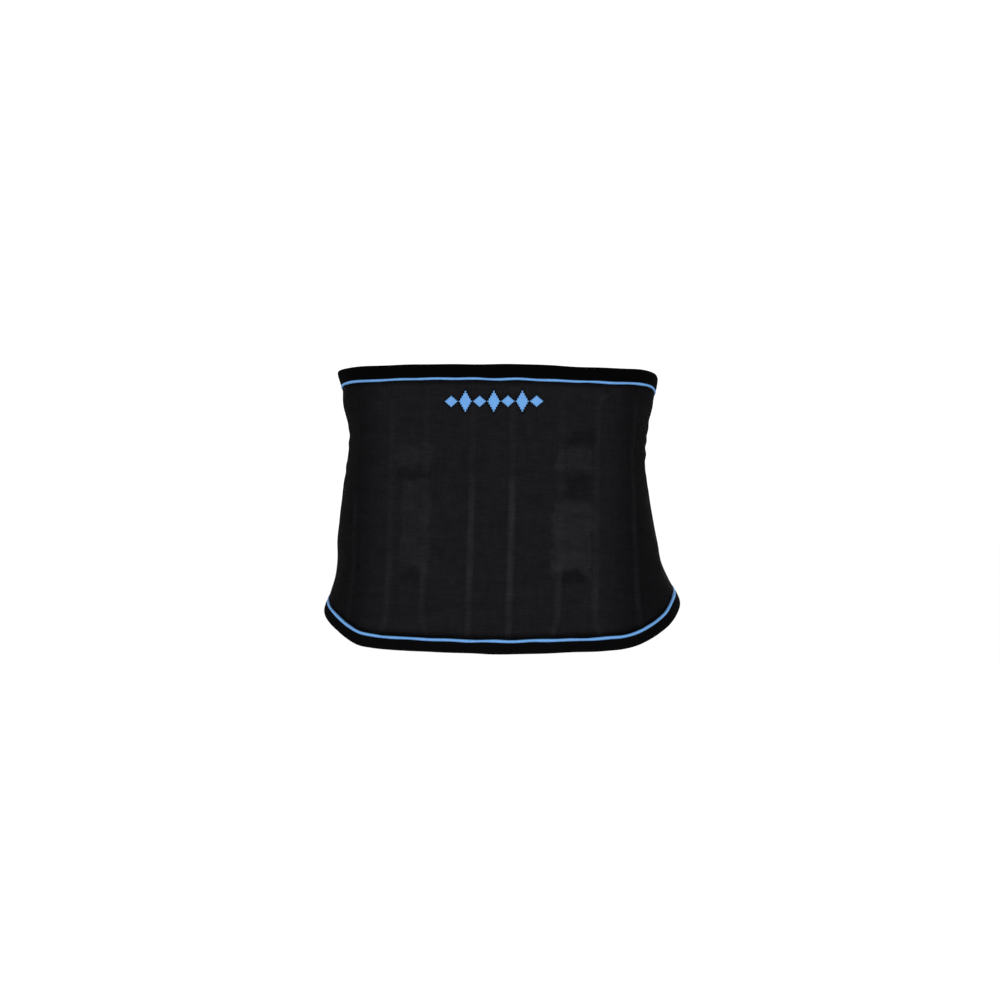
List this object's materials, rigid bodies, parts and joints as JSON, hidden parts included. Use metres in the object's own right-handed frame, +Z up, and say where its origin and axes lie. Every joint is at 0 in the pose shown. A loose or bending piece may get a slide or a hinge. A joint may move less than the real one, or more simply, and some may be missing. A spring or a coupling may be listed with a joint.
{
  "type": "abdominal belt",
  "caption": "Knitted abdominal belt shaped to a waist, with elastic borders, blue edge lines, upright stays, lumbar pads and a lapped front.",
  "frame": {"origin": "middle of the hollow at the waist's narrowest level", "axes": "+Z up, the centre back faces -Y, the lapped front faces +Y, and +X is the right side"},
  "size_m": [0.3343, 0.2311, 0.2606],
  "materials": {
    "knit": "black elastic knit with fine ribs",
    "band": "black ribbed elastic",
    "stripe": "light blue knitted line",
    "sleeve": "black woven sleeve",
    "pad": "dark padded textile",
    "hook": "black hook-and-loop tape"
  },
  "bodies": {
    "root": {"knit_body": "knit", "top_band": "band", "bottom_band": "band", "top_stripe": "stripe", "bottom_stripe": "stripe", "spine_stay_left": "sleeve", "spine_stay_right": "sleeve", "pocket_inner_stay_left": "sleeve", "pocket_inner_stay_right": "sleeve", "pocket_outer_stay_left": "sleeve", "pocket_outer_stay_right": "sleeve", "side_stay_left": "sleeve", "side_stay_right": "sleeve", "lumbar_pad_left": "pad", "lumbar_pad_right": "pad", "closure_patch": "hook"}
  },
  "joints": []
}
